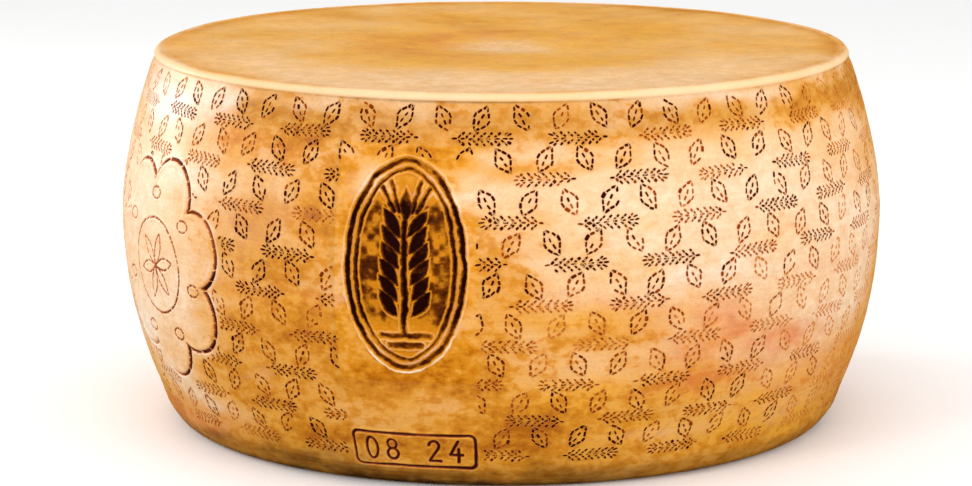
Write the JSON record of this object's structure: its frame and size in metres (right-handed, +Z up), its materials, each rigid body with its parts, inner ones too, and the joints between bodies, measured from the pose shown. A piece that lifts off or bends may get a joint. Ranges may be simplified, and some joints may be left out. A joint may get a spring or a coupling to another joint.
{
  "type": "hard cheese wheel",
  "caption": "Whole round wheel of hard grained cheese with bulging sides, soft rims and a dotted, stamped natural rind.",
  "frame": {"origin": "middle of the lower face, on the surface that the wheel rests on", "axes": "+Z up along the wheel's axis; -Y is the side that the burned stamp is on, +X is to its right as seen from the front"},
  "size_m": [0.4098, 0.4098, 0.201],
  "materials": {
    "rind": "natural amber-cream cheese rind, oiled satin, with darker stains, rows of dotted marks and a burned stamp"
  },
  "bodies": {
    "root": {"cheese_wheel": "rind"}
  },
  "joints": []
}
